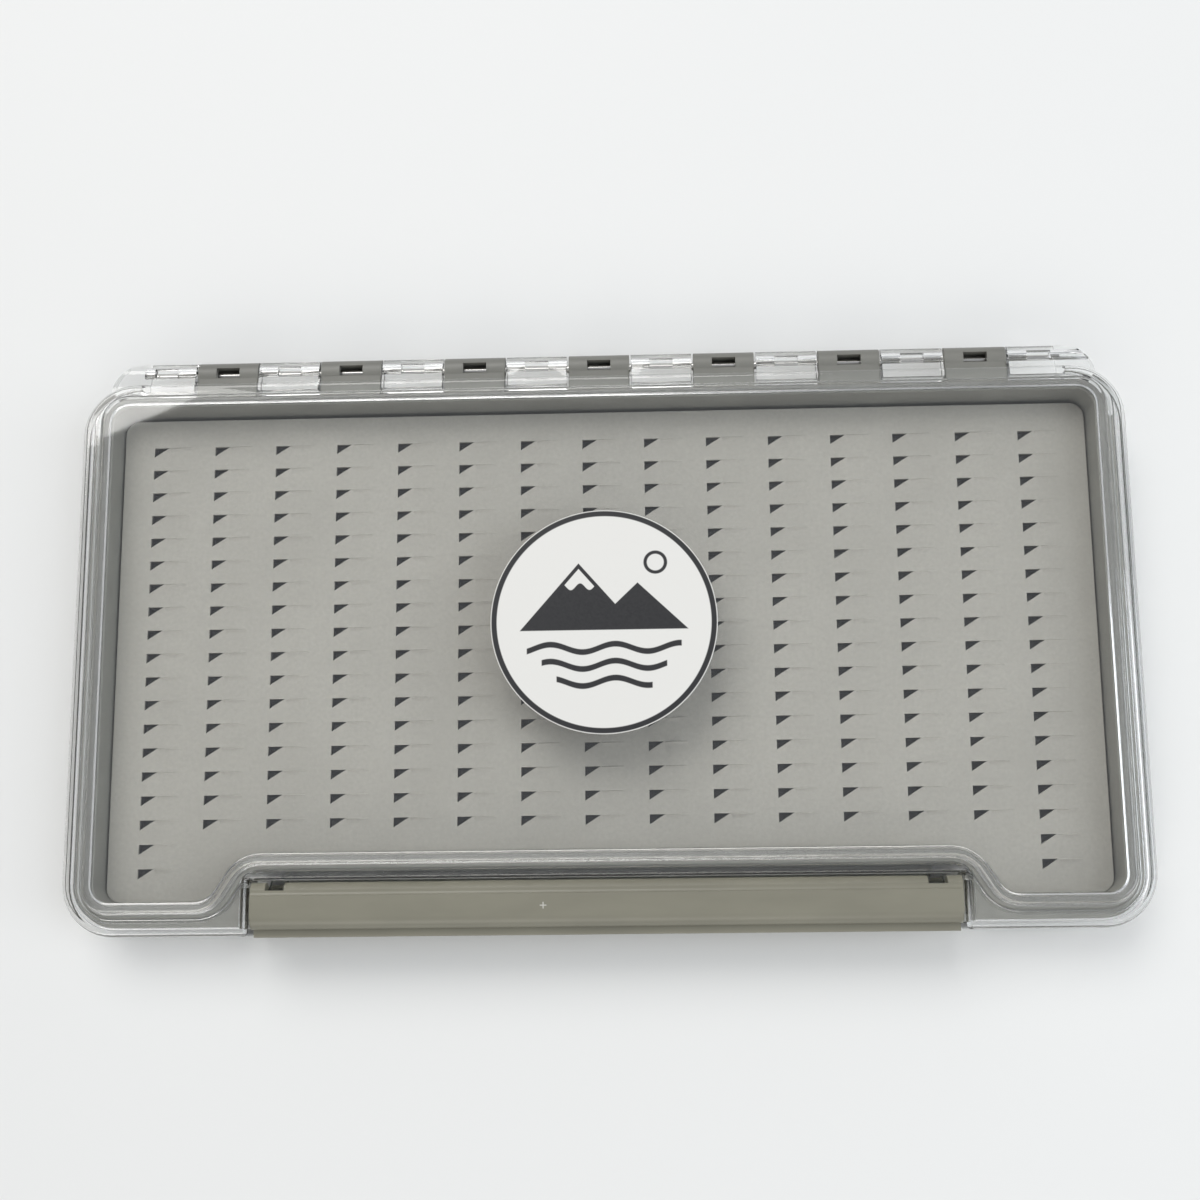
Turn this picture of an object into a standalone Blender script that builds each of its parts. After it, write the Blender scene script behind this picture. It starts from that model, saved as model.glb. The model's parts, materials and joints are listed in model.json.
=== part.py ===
"""Slim fly box: a grey tray with a slit silicone insert, a clear hinged lid and a snap latch.

Metres, +Z up. The origin is at the middle of the box's underside. +X runs along the long side,
+Y points to the hinge and -Y to the latch. The lid is shut.
"""
import math

import bmesh
import bpy
from mathutils import Vector

MM = 0.001

# Driving dimensions, in millimetres
LID_HALF_WIDTH = 99.2        # lid outline
LID_FRONT = -54.85
LID_BACK = 50.05
LID_CORNER_R = 10.0
WALL_HALF_WIDTH = 93.7       # inner face of the tray's wall
WALL_FRONT = -48.85
WALL_BACK = 45.65
WALL_CORNER_R = 3.6
BAY_WALL_Y = -40.2           # inner face of the wall behind the latch bay
BAY_SHOULDER_X = 66.5        # where the wall turns from the bay towards the front corner
BAY_FOOT_X = 72.0
BAY_SHOULDER_R = 7.5
BAY_FOOT_R = 4.5
BAY_EDGE_R = (0.3, 0.8)      # the bay's corners in the lid, inner and outer
WALL = 1.6
GAP = 0.3                    # between pieces that touch on the real box
BITE = 0.5                   # how far a joined piece reaches into its neighbour

FLOOR_TOP = 1.5
BACKING_Z = (1.8, 2.4)
BACKING_IN = 1.0             # the backing sheet stops this far inside the insert's edge
INSERT_Z = (2.7, 5.6)
INSERT_HALF_WIDTH = 93.2
INSERT_BACK = 44.7
INSERT_CORNER_R = 2.8
WALL_TOP = 11.6
RIM_OUT = 2.6                # the seal rim reaches this far out from the wall's inner face
RIM_BOTTOM = 10.2
RIM_BACK = 44.5              # where the seal rim stops, short of the lid's swinging back corners
LEDGE_Z = (9.4, 10.6)        # the ledge that fills the lid's skirt
LEDGE_BACK = 40.4

SKIRT_BOTTOM = 5.8
SKIRT = 1.3
FLANGE_BOTTOM = 12.2
FLANGE_TOP = 13.7
PANEL_BOTTOM = 14.1
PANEL_TOP = 15.6
RISER_IN = 0.15              # riser faces, measured out from the wall's inner face
RISER_OUT = 1.6
GASKET_IN = 0.2
GASKET_OUT = 1.6
GASKET_Z = (11.9, 12.8)
CHANNEL_OUT = 1.9
CHANNEL_TOP = 13.1
RIB_IN = 2.85                # the rib that centres the lid round the seal rim
RIB_OUT = 3.5
RIB_BOTTOM = 10.9

HINGE_Y = 52.6
HINGE_Z = 9.2
KNUCKLE_R = 2.5
KNUCKLE_ARC = 210.0          # degrees of a knuckle's barrel that are free of its block
KNUCKLE_SIDES = 14
KNUCKLE_PITCH = 12.0
KNUCKLES = 15
KNUCKLE_GAP = 0.35
KNUCKLE_WINDOW = (4.5, 2.0)
KNUCKLE_WINDOW_DROP = 0.2    # the windows reach this far under the hinge axis
KNUCKLE_FOOT_DROP = 1.5      # so does the front of a lid knuckle
HINGE_PIN_R = 0.8
HINGE_BORE_R = 1.1
HINGE_PIN_HALF = 88.2
LID_BLOCK_OUT = 2.85         # a lid knuckle's front face, out from the wall's inner face
LID_BLOCK_IN = 0.3           # its sloped back ends this far inside the lid's back edge
WING_START_X = 94.2
WING_END_X = 87.5
WING_DROP = 1.2              # the wings' underside, under the hinge axis

LATCH_HALF = 64.5
BAY_HALF = 64.8
BAY_Y = -44.9
LATCH_Y = -47.45             # pivot of the latch
LATCH_Z = 11.2
LATCH_BARREL_R = 2.25
LATCH_BARREL_SIDES = 10
LATCH_FRONT = -53.7
LATCH_BROW_R = 1.8           # the latch's corner at its top front edge
LATCH_LIP_R = 0.3
LATCH_FOOT_R = 0.8           # at its bottom front edge
LATCH_HOOK_R = (0.4, 0.2)    # the hook's tip, bottom and top
LATCH_INNER_R = (0.5, 0.8)   # inside the channel, bottom and top
LATCH_CORNER_STEP = 22.5     # degrees per edge on a latch corner
LATCH_LIP = -55.1            # the finger lip
LATCH_LIP_Z = (10.0, 11.0)
LATCH_SHEET = 1.65
LATCH_HOOK_Z = (1.2, 2.6)
LATCH_HOOK_TIP = -45.95
LUG_X = (58.6, 61.5)
LUG_R = 1.2
LUG_SIDES = 12
LUG_ARM = 0.65               # half the thickness of the arm that carries a lug
LUG_ARM_ANGLE = -50.0        # the arm's direction from +Y, round the pivot
LATCH_OPENS = 90.0
LATCH_PIN_R = 0.45
LATCH_BORE_R = 0.75
LATCH_PIN_X = (55.9, 64.1)
CATCH_EDGE = -47.25
CATCH_Z = (2.9, 4.2)
CATCH_HALF = 60.0

STICKER_AT = (0.6, 1.7)
STICKER_R = 21.0
STICKER_SIDES = 48
STICKER_Z = (15.7, 15.85)

SLIT_PITCH = (11.98, 4.53)   # across and down the insert
SLIT_GRID = (15, 17)
SLIT_OUTER_EXTRA = 2         # more slits in the first and the last column
SLIT_FIRST = (-87.4, 39.21)  # top left corner of the first slit
SLIT_MOUTH = (2.9, 1.85)
SLIT_DEPTH = 1.9

CLEAR = 1.0                  # how far a cutter reaches past what it cuts

for old in list(bpy.data.objects):
    bpy.data.objects.remove(old, do_unlink=True)

parts = bpy.data.collections.new("slim_fly_box")
cutters = bpy.data.collections.new("cutters")
for group in (parts, cutters):
    bpy.context.scene.collection.children.link(group)


def material(name, colour, roughness, metallic=0.0, alpha=1.0):
    made = bpy.data.materials.new(name)
    made.use_nodes = True
    shader = made.node_tree.nodes["Principled BSDF"]
    shader.inputs["Base Color"].default_value = (*colour, 1.0)
    shader.inputs["Roughness"].default_value = roughness
    shader.inputs["Metallic"].default_value = metallic
    shader.inputs["Alpha"].default_value = alpha
    made.diffuse_color = (*colour, alpha)
    return made


def place(obj, group):
    """Move an object into one of the two collections."""
    for other in list(obj.users_collection):
        other.objects.unlink(obj)
    group.objects.link(obj)
    return obj


def helper(obj):
    """Turn an object into a cutter or a piece that is joined to a part."""
    obj.hide_render = True
    obj.display_type = "WIRE"
    return place(obj, cutters)


def finish(obj, look, parent=None):
    """Give a part its material and shading, and hang it on its joint's empty."""
    obj.data.materials.clear()
    obj.data.materials.append(look)
    place(obj, parts)
    if parent:
        obj.parent = parent
        obj.matrix_parent_inverse = parent.matrix_world.inverted()
    return obj


def shift_outline(corners, out):
    """Move an anticlockwise outline of (x, y, radius) corners out by a distance, in millimetres."""
    count = len(corners)
    moved = []
    for i, (x, y, radius) in enumerate(corners):
        here = Vector((x, y))
        before = (here - Vector(corners[i - 1][:2])).normalized()
        after = (Vector(corners[(i + 1) % count][:2]) - here).normalized()
        outward = [Vector((d.y, -d.x)) for d in (before, after)]
        mitre = (outward[0] + outward[1]) / (1 + outward[0].dot(outward[1]))
        turn = before.x * after.y - before.y * after.x
        grown = radius + out if turn > 0 else radius - out
        spot = here + mitre * out
        moved.append((spot.x, spot.y, max(grown, 0.0)))
    return moved


def rounded(corners, step=15.0):
    """The points of an outline whose (x, y, radius) corners are arcs of about step degrees a side."""
    count = len(corners)
    points = []
    for i, (x, y, radius) in enumerate(corners):
        here = Vector((x, y))
        back = (Vector(corners[i - 1][:2]) - here).normalized()
        ahead = (Vector(corners[(i + 1) % count][:2]) - here).normalized()
        turn = math.pi - back.angle(ahead)
        if radius < 0.01 or turn < 0.01:
            points.append(here)
            continue
        centre = here + (back + ahead).normalized() * radius / math.cos(turn / 2)
        start = here + back * radius * math.tan(turn / 2) - centre
        end = here + ahead * radius * math.tan(turn / 2) - centre
        sides = max(2, round(math.degrees(turn) / step))
        for k in range(sides + 1):
            share = k / sides
            weights = math.sin((1 - share) * turn), math.sin(share * turn)
            points.append(centre + (start * weights[0] + end * weights[1]) / math.sin(turn))
    return points


def plate(name, points, low, high):
    """A flat outline, in millimetres, filled and extruded from low to high along Z."""
    return plates(name, [points], low, high)


def plates(name, outlines, low, high):
    """Several flat outlines that don't meet, extruded together into one object."""
    curve = bpy.data.curves.new(name + "_outline", "CURVE")
    curve.dimensions = "2D"
    curve.fill_mode = "BOTH"
    curve.extrude = (high - low) / 2 * MM
    for points in outlines:
        spline = curve.splines.new("POLY")
        spline.points.add(len(points) - 1)
        for spot, (x, y) in zip(spline.points, points):
            spot.co = (x * MM, y * MM, 0, 1)
        spline.use_cyclic_u = True
    drawn = bpy.data.objects.new(name + "_outline", curve)
    cutters.objects.link(drawn)
    drawn.location.z = (low + high) / 2 * MM
    bpy.context.view_layer.update()
    mesh = bpy.data.meshes.new_from_object(drawn.evaluated_get(bpy.context.evaluated_depsgraph_get()))
    mesh.transform(drawn.matrix_world)
    bpy.data.objects.remove(drawn, do_unlink=True)
    weld(mesh)
    mesh.name = name
    obj = bpy.data.objects.new(name, mesh)
    parts.objects.link(obj)
    return obj


def weld(mesh):
    """Close the seams of a mesh and face it outwards."""
    work = bmesh.new()
    work.from_mesh(mesh)
    bmesh.ops.remove_doubles(work, verts=work.verts, dist=0.000005)
    bmesh.ops.recalc_face_normals(work, faces=work.faces)
    work.to_mesh(mesh)
    work.free()


def box(name, low, high):
    """A box between two corners, in millimetres."""
    size = [h - l for l, h in zip(low, high)]
    middle = [(h + l) / 2 * MM for l, h in zip(low, high)]
    bpy.ops.mesh.primitive_cube_add(size=1, location=middle)
    obj = bpy.context.object
    obj.name = name
    obj.scale = [s * MM for s in size]
    bpy.ops.object.transform_apply(location=False, rotation=False, scale=True)
    return place(obj, parts)


def rod(name, radius, x_range, y, z, sides=16):
    """A cylinder along X, in millimetres."""
    length = (x_range[1] - x_range[0]) * MM
    middle = ((x_range[0] + x_range[1]) / 2 * MM, y * MM, z * MM)
    bpy.ops.mesh.primitive_cylinder_add(
        vertices=sides, radius=radius * MM, depth=length, location=middle, rotation=(0, math.pi / 2, 0)
    )
    obj = bpy.context.object
    obj.name = name
    return place(obj, parts)


def bar(name, points, x_range):
    """A (y, z) outline in millimetres, extruded along X."""
    obj = plate(name, points, *x_range)
    for vertex in obj.data.vertices:
        y, z, x = vertex.co
        vertex.co = (x, y, z)
    weld(obj.data)
    return obj


def combine(obj, other, operation):
    """Cut or join with a Boolean modifier that is kept on the part."""
    helper(other)
    modifier = obj.modifiers.new(operation.lower() + "_" + other.name, "BOOLEAN")
    modifier.operation = operation
    modifier.solver = "EXACT"
    modifier.object = other


def cut(obj, *others):
    for other in others:
        combine(obj, other, "DIFFERENCE")


def join(obj, *others):
    for other in others:
        combine(obj, other, "UNION")


def empty(name, location):
    made = bpy.data.objects.new(name, None)
    made.location = [c * MM for c in location]
    parts.objects.link(made)
    bpy.context.view_layer.update()
    return made


def both_sides(right):
    """An outline's right half, from front to back, and its mirror image."""
    return right + [(-x, y, radius) for x, y, radius in reversed(right)]


def wall_corners():
    return both_sides(
        [
            (BAY_SHOULDER_X, BAY_WALL_Y, BAY_SHOULDER_R),
            (BAY_FOOT_X, WALL_FRONT, BAY_FOOT_R),
            (WALL_HALF_WIDTH, WALL_FRONT, WALL_CORNER_R),
            (WALL_HALF_WIDTH, WALL_BACK, WALL_CORNER_R),
        ]
    )


def wall_line(out=0.0):
    """The outline of the tray's inner wall, moved out, in millimetres."""
    return rounded(shift_outline(wall_corners(), out))


def lid_line(out=0.0):
    """The outline of the lid with its latch bay, moved out, in millimetres."""
    right = [
        (BAY_HALF, BAY_Y, BAY_EDGE_R[0]),
        (BAY_HALF, LID_FRONT, BAY_EDGE_R[1]),
        (LID_HALF_WIDTH, LID_FRONT, LID_CORNER_R),
        (LID_HALF_WIDTH, LID_BACK, LID_CORNER_R),
    ]
    return rounded(shift_outline(both_sides(right), out))


def insert_line(out=0.0):
    """The outline of the silicone insert, which sits against the front wall, in millimetres."""
    front = shift_outline(wall_corners(), -GAP)[:2]
    sides = [
        (INSERT_HALF_WIDTH, WALL_FRONT + GAP, INSERT_CORNER_R),
        (INSERT_HALF_WIDTH, INSERT_BACK, INSERT_CORNER_R),
    ]
    return rounded(shift_outline(both_sides(front + sides), out))


def circle(x, y, radius, sides, start=0.0, sweep=360.0):
    """Points on an arc, anticlockwise from start, in degrees."""
    steps = sides if sweep == 360.0 else sides + 1
    angles = [math.radians(start + sweep * k / sides) for k in range(steps)]
    return [(x + radius * math.cos(a), y + radius * math.sin(a)) for a in angles]


def knuckle_range(index):
    """The X range of one knuckle, counted from the left."""
    left = (index - KNUCKLES / 2) * KNUCKLE_PITCH
    return left + KNUCKLE_GAP / 2, left + KNUCKLE_PITCH - KNUCKLE_GAP / 2


def knuckle_cuts(name, indexes):
    """The hinge bore, and a window on top of each knuckle that shows the pin."""
    reach = (-HINGE_PIN_HALF - GAP, LID_HALF_WIDTH)
    cuts = [rod(name + "_bore", HINGE_BORE_R, reach, HINGE_Y, HINGE_Z)]
    for i in indexes:
        middle = sum(knuckle_range(i)) / 2
        half_x, half_y = KNUCKLE_WINDOW[0] / 2, KNUCKLE_WINDOW[1] / 2
        low = (middle - half_x, HINGE_Y - half_y, HINGE_Z - KNUCKLE_WINDOW_DROP)
        high = (middle + half_x, HINGE_Y + half_y, HINGE_Z + 2 * KNUCKLE_R)
        cuts.append(box(f"{name}_window_{i}", low, high))
    return cuts


def tray_knuckle(index):
    """A barrel on a block that stands out of the tray's back wall."""
    barrel = circle(HINGE_Y, HINGE_Z, KNUCKLE_R, KNUCKLE_SIDES, -90, KNUCKLE_ARC)
    root = [(WALL_BACK + WALL / 2, barrel[-1][1]), (WALL_BACK + WALL / 2, barrel[0][1])]
    return bar(f"tray_knuckle_{index}", barrel + root, knuckle_range(index))


def lid_knuckle(index):
    """A barrel on a block that hangs under the lid's back edge."""
    low, high = knuckle_range(index)
    if index == 0:
        low = -WING_END_X
    if index == KNUCKLES - 1:
        high = WING_END_X
    barrel = circle(HINGE_Y, HINGE_Z, KNUCKLE_R, KNUCKLE_SIDES, 90 - KNUCKLE_ARC, KNUCKLE_ARC)
    front = WALL_BACK + LID_BLOCK_OUT
    top = FLANGE_BOTTOM + BITE
    block = [(LID_BACK - LID_BLOCK_IN, top), (front, top), (front, HINGE_Z - KNUCKLE_FOOT_DROP)]
    return bar(f"lid_knuckle_{index}", barrel + block, (low, high))


def lid_wing(side):
    """The web that carries an end knuckle from the lid's back corner."""
    front, back = WALL_BACK + LID_BLOCK_OUT, HINGE_Y + KNUCKLE_R
    radius = back - front
    corner = circle(WING_START_X - radius, front, radius, 6, 0, 90)
    outline = corner + [(WING_END_X - BITE, back), (WING_END_X - BITE, front)]
    if side < 0:
        outline = [(-x, y) for x, y in reversed(outline)]
    return plate(f"lid_wing_{side_word(side)}", outline, HINGE_Z - WING_DROP, FLANGE_BOTTOM + BITE)


def side_word(side):
    return "right" if side > 0 else "left"


def round_pivot(angle, along, across=0.0):
    """A (y, z) spot along and across a direction, given in degrees from +Y round the latch's pivot."""
    cos, sin = math.cos(math.radians(angle)), math.sin(math.radians(angle))
    return LATCH_Y + along * cos - across * sin, LATCH_Z + along * sin + across * cos


def latch_lug(side):
    """A round lug in front of the bay's skirt, on an arm that slopes down to the skirt."""
    half = math.degrees(math.asin(LUG_ARM / LUG_R))
    end = circle(LATCH_Y, LATCH_Z, LUG_R, LUG_SIDES, LUG_ARM_ANGLE + half, 360 - 2 * half)
    reach = (BAY_Y + SKIRT / 2 - LATCH_Y) / math.cos(math.radians(LUG_ARM_ANGLE))
    root = [round_pivot(LUG_ARM_ANGLE, reach, -LUG_ARM), round_pivot(LUG_ARM_ANGLE, reach, LUG_ARM)]
    return bar(f"latch_lug_{side_word(side)}", end + root, sorted((side * LUG_X[0], side * LUG_X[1])))


def lug_slot():
    """The (y, z) outline of the slot that lets the latch turn past a lug's arm."""
    far, wide = LATCH_BARREL_R + CLEAR, LUG_ARM + GAP
    shut, opened = LUG_ARM_ANGLE, LUG_ARM_ANGLE + LATCH_OPENS
    between = [round_pivot(shut + LATCH_OPENS * third / 3, far) for third in (1, 2)]
    first = [round_pivot(shut, 0, -wide), round_pivot(shut, far, -wide)]
    return first + between + [round_pivot(opened, far, wide), round_pivot(opened, 0, wide)]


def build_tray(look):
    tray = plate("base_tray", wall_line(WALL), 0, WALL_TOP)
    ledge = plate("tray_ledge", lid_line(-SKIRT - GAP), *LEDGE_Z)
    seal_rim = plate("tray_seal_rim", wall_line(RIM_OUT), RIM_BOTTOM, WALL_TOP)
    for name, piece, back in (("ledge_trim", ledge, LEDGE_BACK), ("rim_trim", seal_rim, RIM_BACK)):
        low = (-LID_HALF_WIDTH, back, LEDGE_Z[0] - CLEAR)
        cut(piece, box(name, low, (LID_HALF_WIDTH, LID_BACK, WALL_TOP + CLEAR)))
        join(tray, piece)
    for i in range(1, KNUCKLES, 2):
        join(tray, tray_knuckle(i))
    low, high = (-CATCH_HALF, CATCH_EDGE, CATCH_Z[0]), (CATCH_HALF, BAY_WALL_Y - WALL / 2, CATCH_Z[1])
    join(tray, box("catch", low, high))
    cut(tray, plate("tray_hollow", wall_line(), FLOOR_TOP, WALL_TOP + CLEAR))
    cut(tray, *knuckle_cuts("tray", range(1, KNUCKLES, 2)))
    return finish(tray, look)


def build_lid(look, hinge):
    lid = plate("clear_lid", lid_line(), SKIRT_BOTTOM, FLANGE_TOP)
    join(lid, plate("lid_panel", wall_line(RISER_OUT), FLANGE_TOP - BITE, PANEL_TOP))
    cut(lid, plate("skirt_hollow", lid_line(-SKIRT), SKIRT_BOTTOM - CLEAR, FLANGE_BOTTOM))
    join(lid, plates("lid_rib", [wall_line(RIB_OUT), wall_line(RIB_IN)], RIB_BOTTOM, FLANGE_BOTTOM + BITE))
    back_half = LID_HALF_WIDTH - LID_CORNER_R
    low = (-back_half, HINGE_Y - LID_CORNER_R, SKIRT_BOTTOM - CLEAR)
    cut(lid, box("skirt_back_opening", low, (back_half, LID_BACK + CLEAR, FLANGE_BOTTOM)))
    for i in range(0, KNUCKLES, 2):
        join(lid, lid_knuckle(i))
    join(lid, lid_wing(-1), lid_wing(1), latch_lug(-1), latch_lug(1))
    cut(lid, plate("lid_hollow", wall_line(RISER_IN), SKIRT_BOTTOM - CLEAR, PANEL_BOTTOM))
    cut(lid, plate("gasket_channel", wall_line(CHANNEL_OUT), SKIRT_BOTTOM - CLEAR, CHANNEL_TOP))
    cut(lid, *knuckle_cuts("lid", range(0, KNUCKLES, 2)))
    cut(lid, rod("lug_bore", LATCH_BORE_R, (-LUG_X[1] - CLEAR, LUG_X[1] + CLEAR), LATCH_Y, LATCH_Z))
    return finish(lid, look, hinge)


def build_latch(look, pivot):
    """A channel across the bay, with a barrel at its top edge and a hook under the tray's catch."""
    barrel = circle(LATCH_Y, LATCH_Z, LATCH_BARREL_R, LATCH_BARREL_SIDES, -90, 180)
    top = LATCH_Z + LATCH_BARREL_R
    inner = LATCH_FRONT + LATCH_SHEET
    outside = [
        (LATCH_FRONT, top, LATCH_BROW_R),
        (LATCH_FRONT, LATCH_LIP_Z[1], LATCH_LIP_R),
        (LATCH_LIP, LATCH_LIP_Z[1], LATCH_LIP_R),
        (LATCH_LIP, LATCH_LIP_Z[0], LATCH_LIP_R),
        (LATCH_FRONT, LATCH_LIP_Z[0], LATCH_LIP_R),
        (LATCH_FRONT, LATCH_HOOK_Z[0], LATCH_FOOT_R),
        (LATCH_HOOK_TIP, LATCH_HOOK_Z[0], LATCH_HOOK_R[0]),
        (LATCH_HOOK_TIP, LATCH_HOOK_Z[1], LATCH_HOOK_R[1]),
        (inner, LATCH_HOOK_Z[1], LATCH_INNER_R[0]),
        (inner, top - LATCH_SHEET, LATCH_INNER_R[1]),
    ]
    ends = [(*barrel[-1], 0.0), *outside, (*barrel[0], 0.0)]
    profile = [tuple(p) for p in rounded(ends, LATCH_CORNER_STEP)] + barrel[1:-1]
    latch = bar("latch_bar", profile, (-LATCH_HALF, LATCH_HALF))
    for side in (-1, 1):
        word = side_word(side)
        reach = sorted((side * (LUG_X[0] - GAP), side * (LUG_X[1] + GAP)))
        cut(latch, rod(f"lug_pocket_{word}", LUG_R + GAP, reach, LATCH_Y, LATCH_Z))
        cut(latch, bar(f"lug_slot_{word}", lug_slot(), reach))
        bore = sorted((side * (LATCH_PIN_X[0] - GAP), side * (LATCH_HALF + CLEAR)))
        cut(latch, rod(f"latch_bore_{word}", LATCH_BORE_R, bore, LATCH_Y, LATCH_Z))
    return finish(latch, look, pivot)


def slit_corners():
    """The top left corner of every slit, in millimetres."""
    columns, rows = SLIT_GRID
    for column in range(columns):
        extra = SLIT_OUTER_EXTRA if column in (0, columns - 1) else 0
        for row in range(rows + extra):
            yield SLIT_FIRST[0] + column * SLIT_PITCH[0], SLIT_FIRST[1] - row * SLIT_PITCH[1]


def build_insert(look):
    """A silicone sheet with a triangular pocket at the head of each slit."""
    insert = plate("slit_insert", insert_line(), *INSERT_Z)
    wide, deep = SLIT_MOUTH
    mouths = [[(x, y), (x, y - deep), (x + wide, y)] for x, y in slit_corners()]
    top = INSERT_Z[1]
    cut(insert, plates("slit_mouths", mouths, top - SLIT_DEPTH, top + CLEAR))
    return finish(insert, look)


def build_all():
    grey = material("tray_grey", (0.25, 0.24, 0.19), 0.45)
    clear = material("lid_clear", (0.9, 0.92, 0.92), 0.05, alpha=0.3)
    silicone = material("insert_grey", (0.42, 0.38, 0.33), 0.7)
    dark = material("backing_grey", (0.08, 0.08, 0.085), 0.9)
    seal = material("gasket_clear", (0.7, 0.72, 0.72), 0.4)
    steel = material("pin_steel", (0.6, 0.6, 0.58), 0.25, metallic=1.0)
    paper = material("sticker_white", (0.85, 0.85, 0.85), 0.4)

    hinge = empty("lid_hinge_axis", (0, HINGE_Y, HINGE_Z))
    pivot = empty("latch_hinge_axis", (0, LATCH_Y, LATCH_Z))
    pivot.parent = hinge
    pivot.matrix_parent_inverse = hinge.matrix_world.inverted()
    bpy.context.view_layer.update()

    build_tray(grey)
    build_lid(clear, hinge)
    build_latch(grey, pivot)
    build_insert(silicone)
    finish(plate("insert_backing", insert_line(-BACKING_IN), *BACKING_Z), dark)

    finish(plates("lid_gasket", [wall_line(GASKET_OUT), wall_line(GASKET_IN)], *GASKET_Z), seal, hinge)

    pin_reach = (-HINGE_PIN_HALF, HINGE_PIN_HALF)
    finish(rod("hinge_pin", HINGE_PIN_R, pin_reach, HINGE_Y, HINGE_Z), steel)
    for side, word in ((-1, "left"), (1, "right")):
        reach = sorted((side * LATCH_PIN_X[0], side * LATCH_PIN_X[1]))
        finish(rod(f"latch_pin_{word}", LATCH_PIN_R, reach, LATCH_Y, LATCH_Z), steel, pivot)

    disc = plate("lid_sticker", circle(*STICKER_AT, STICKER_R, STICKER_SIDES), *STICKER_Z)
    finish(disc, paper, hinge)


build_all()
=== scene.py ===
"""Looks of the slim fly box: the real edges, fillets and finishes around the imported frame."""
import json
import math

import bmesh
import bpy
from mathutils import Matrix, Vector, noise
from mathutils.geometry import delaunay_2d_cdt


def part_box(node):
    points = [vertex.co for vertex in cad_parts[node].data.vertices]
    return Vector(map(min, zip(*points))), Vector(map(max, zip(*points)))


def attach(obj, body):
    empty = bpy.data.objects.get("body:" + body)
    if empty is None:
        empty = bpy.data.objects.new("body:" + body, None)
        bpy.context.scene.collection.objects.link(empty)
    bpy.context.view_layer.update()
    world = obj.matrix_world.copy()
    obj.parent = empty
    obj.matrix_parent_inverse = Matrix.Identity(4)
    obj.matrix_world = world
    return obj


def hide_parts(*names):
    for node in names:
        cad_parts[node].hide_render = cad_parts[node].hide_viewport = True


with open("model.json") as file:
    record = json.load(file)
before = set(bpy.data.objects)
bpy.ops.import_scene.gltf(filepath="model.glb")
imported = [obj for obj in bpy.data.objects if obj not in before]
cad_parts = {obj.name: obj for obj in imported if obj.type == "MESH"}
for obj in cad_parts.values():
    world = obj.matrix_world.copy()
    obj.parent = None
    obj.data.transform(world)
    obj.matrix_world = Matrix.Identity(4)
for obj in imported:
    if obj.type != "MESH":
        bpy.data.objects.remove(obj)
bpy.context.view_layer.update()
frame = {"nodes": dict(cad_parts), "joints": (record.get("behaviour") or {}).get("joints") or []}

MM = 0.001
WELD = 0.002 * MM            # vertices nearer than this are one


# ---------------------------------------------------------------- sizes, in millimetres


def span(node):
    """A CAD node's lowest and highest corner, in millimetres."""
    low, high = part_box(node)
    return low / MM, high / MM


def pivot(joint):
    """The Y and Z of a joint's axis, in millimetres."""
    found = next(j for j in frame["joints"] if j["name"] == joint)
    return found["pos_m"][1] / MM, found["pos_m"][2] / MM


_, TRAY_HIGH = span("base_tray")
LID_LOW, LID_HIGH = span("clear_lid")
LATCH_LOW, LATCH_HIGH = span("latch_bar")
INSERT_LOW, INSERT_HIGH = span("slit_insert")
GASKET_LOW, GASKET_HIGH = span("lid_gasket")
STICKER_LOW, STICKER_HIGH = span("lid_sticker")
HINGE_PIN_LOW, _ = span("hinge_pin")
LATCH_PIN_LOW, LATCH_PIN_HIGH = span("latch_pin_right")
HINGE_Y, HINGE_Z = pivot("lid_hinge")
LATCH_Y, LATCH_Z = pivot("latch_hinge")

GAP = 0.3                    # between pieces that touch on the real box
WALL = 1.6
WALL_HALF_WIDTH = 93.7       # inner face of the wall
WALL_FRONT = -48.85
WALL_BACK = 45.65
WALL_CORNER_R = 3.6
WALL_DRAFT = 0.25            # the wall leans in this much by the floor
BAY_WALL_Y = -40.2
BAY_SHOULDER_X = 66.5
BAY_FOOT_X = 72.0
BAY_SHOULDER_R = 7.5
BAY_FOOT_R = 4.5
FLOOR_TOP = 1.5
TRAY_BOTTOM_R = 1.3
TRAY_FLOOR_R = 0.9
WALL_TOP = TRAY_HIGH.z
RIM_OUT = 2.6
RIM_BOTTOM = 10.2
RIM_BACK = 44.5
LEDGE_Z = (9.4, 10.6)
LEDGE_BACK = 40.4
INSERT_CORNER_R = 2.8
INSERT_EDGE_R = 0.18

LID_BACK = 50.05
LID_FRONT = -54.85
LID_CORNER_R = 10.0
BAY_EDGE_R = (0.3, 0.8)      # the bay's corners in the lid, inner and outer
BAY_HALF = LATCH_HIGH.x + GAP
BAY_Y = -44.9
SKIRT = 1.3
SKIRT_BOTTOM = LID_LOW.z
FLANGE_BOTTOM = 12.2
FLANGE_TOP = 13.7
FLANGE_EDGE_R = 1.1
PANEL_BOTTOM = 14.1
PANEL_TOP = LID_HIGH.z
PANEL_EDGE_R = 0.7
PANEL_ROOT_R = 0.5           # where the riser meets the flange
HOLLOW_R = 0.5               # inside the skirt and the panel
RISER_IN = 0.15
RISER_OUT = 1.6
CHANNEL_OUT = 1.9
CHANNEL_TOP = 13.1
CHANNEL_R = 0.25
RIB_IN = 2.85
RIB_OUT = 3.5
RIB_BOTTOM = 10.9
RIB_R = 0.2

BEAD_SEED = 5                # without one, the noise would differ from run to run
BEAD_WAVES = 160.0           # per metre
BEAD_WANDER = 0.09

STICKER_LIFT = 0.01          # the vinyl lies this far over the panel
STICKER_THICK = 0.14
STICKER_EDGE = 0.05
STICKER_SIDES = 128

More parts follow.
